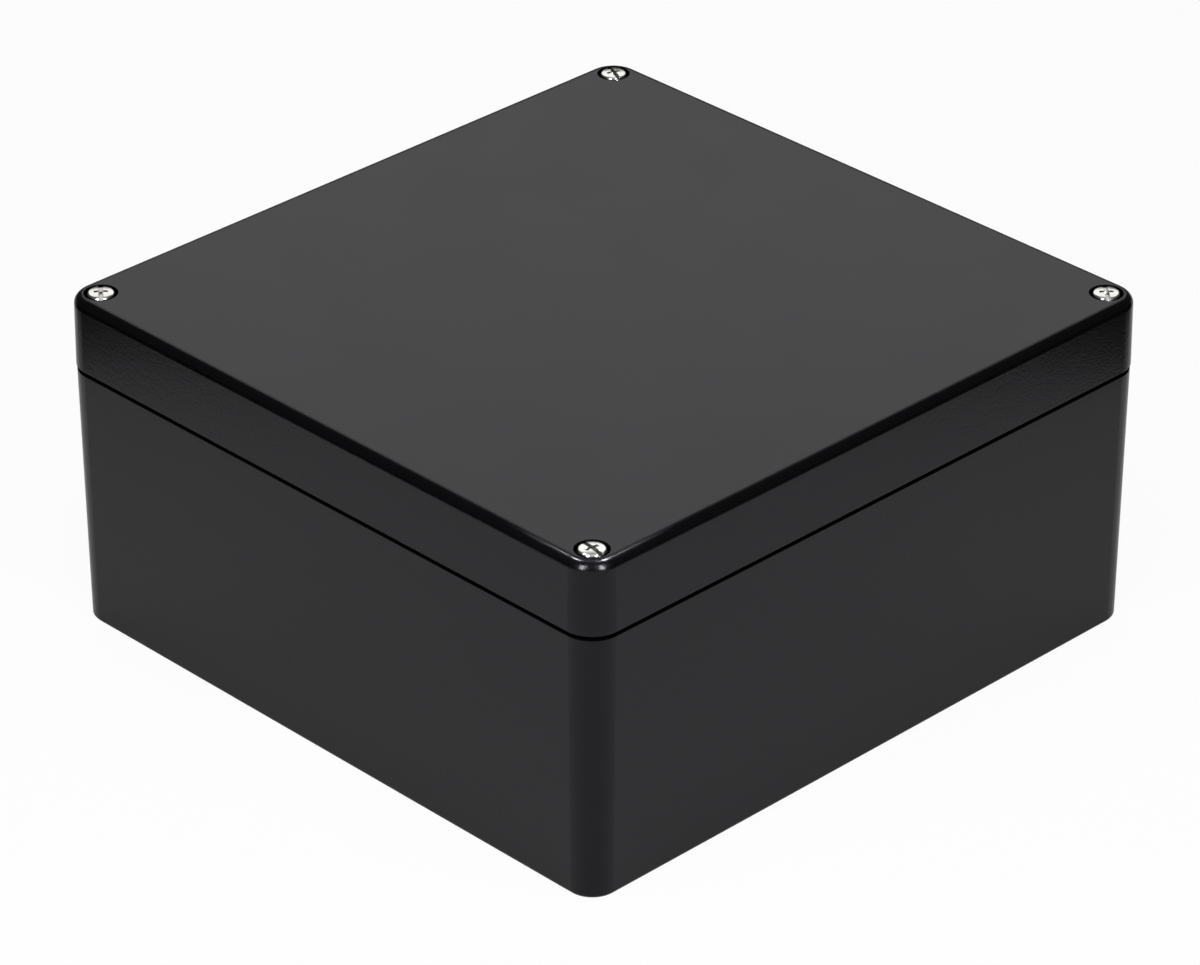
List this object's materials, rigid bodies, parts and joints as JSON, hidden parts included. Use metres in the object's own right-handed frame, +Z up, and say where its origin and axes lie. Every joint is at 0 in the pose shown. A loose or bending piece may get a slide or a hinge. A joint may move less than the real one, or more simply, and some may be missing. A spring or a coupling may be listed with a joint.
{
  "type": "plastic enclosure",
  "caption": "Square black plastic enclosure with rounded corners, drafted walls and a shallow lift-off lid held by captive corner screws, for housing electronics.",
  "frame": {"origin": "centre of the underside, on the surface the box stands on", "axes": "+X along the shorter side in plan, +Y along the longer side in plan, +Z up through the lid"},
  "size_m": [0.2, 0.204, 0.0982],
  "materials": {
    "moulded_black": "injection-moulded, satin, near black",
    "plated_steel": "bright plated steel",
    "seal_rubber": "soft matt rubber",
    "ring_rubber": "soft matt rubber",
    "insert_brass": "turned and knurled"
  },
  "bodies": {
    "base": {"base": "moulded_black", "insert_front_left": "insert_brass", "insert_front_right": "insert_brass", "insert_back_left": "insert_brass", "insert_back_right": "insert_brass"},
    "lid": {"lid": "moulded_black", "gasket": "seal_rubber"},
    "ring_front_left": {"retaining_ring_front_left": "ring_rubber"},
    "screw_front_left": {"screw_front_left": "plated_steel"},
    "ring_front_right": {"retaining_ring_front_right": "ring_rubber"},
    "screw_front_right": {"screw_front_right": "plated_steel"},
    "ring_back_left": {"retaining_ring_back_left": "ring_rubber"},
    "screw_back_left": {"screw_back_left": "plated_steel"},
    "ring_back_right": {"retaining_ring_back_right": "ring_rubber"},
    "screw_back_right": {"screw_back_right": "plated_steel"}
  },
  "joints": [
    {"name": "lid_lift", "type": "slide", "parent": "base", "child": "lid", "axis": [0, 0, 1], "range_m": [0, 0.12]},
    {"name": "screw_front_left_back_out", "type": "slide", "parent": "lid", "child": "ring_front_left", "axis": [0, 0, 1], "range_m": [0, 0.007]},
    {"name": "screw_front_left_turn", "type": "hinge", "parent": "ring_front_left", "child": "screw_front_left", "pos_m": [-0.0923, -0.0943, 0.0951], "axis": [0, 0, 1], "range_deg": [0, 3960]},
    {"name": "screw_front_right_back_out", "type": "slide", "parent": "lid", "child": "ring_front_right", "axis": [0, 0, 1], "range_m": [0, 0.007]},
    {"name": "screw_front_right_turn", "type": "hinge", "parent": "ring_front_right", "child": "screw_front_right", "pos_m": [0.0923, -0.0943, 0.0951], "axis": [0, 0, 1], "range_deg": [0, 3960]},
    {"name": "screw_back_left_back_out", "type": "slide", "parent": "lid", "child": "ring_back_left", "axis": [0, 0, 1], "range_m": [0, 0.007]},
    {"name": "screw_back_left_turn", "type": "hinge", "parent": "ring_back_left", "child": "screw_back_left", "pos_m": [-0.0923, 0.0943, 0.0951], "axis": [0, 0, 1], "range_deg": [0, 3960]},
    {"name": "screw_back_right_back_out", "type": "slide", "parent": "lid", "child": "ring_back_right", "axis": [0, 0, 1], "range_m": [0, 0.007]},
    {"name": "screw_back_right_turn", "type": "hinge", "parent": "ring_back_right", "child": "screw_back_right", "pos_m": [0.0923, 0.0943, 0.0951], "axis": [0, 0, 1], "range_deg": [0, 3960]}
  ],
  "couplings": [
    {"joint": "screw_front_left_turn", "follows": "screw_front_left_back_out", "rad_per_m": 8976},
    {"joint": "screw_front_right_turn", "follows": "screw_front_right_back_out", "rad_per_m": 8976},
    {"joint": "screw_back_left_turn", "follows": "screw_back_left_back_out", "rad_per_m": 8976},
    {"joint": "screw_back_right_turn", "follows": "screw_back_right_back_out", "rad_per_m": 8976}
  ]
}
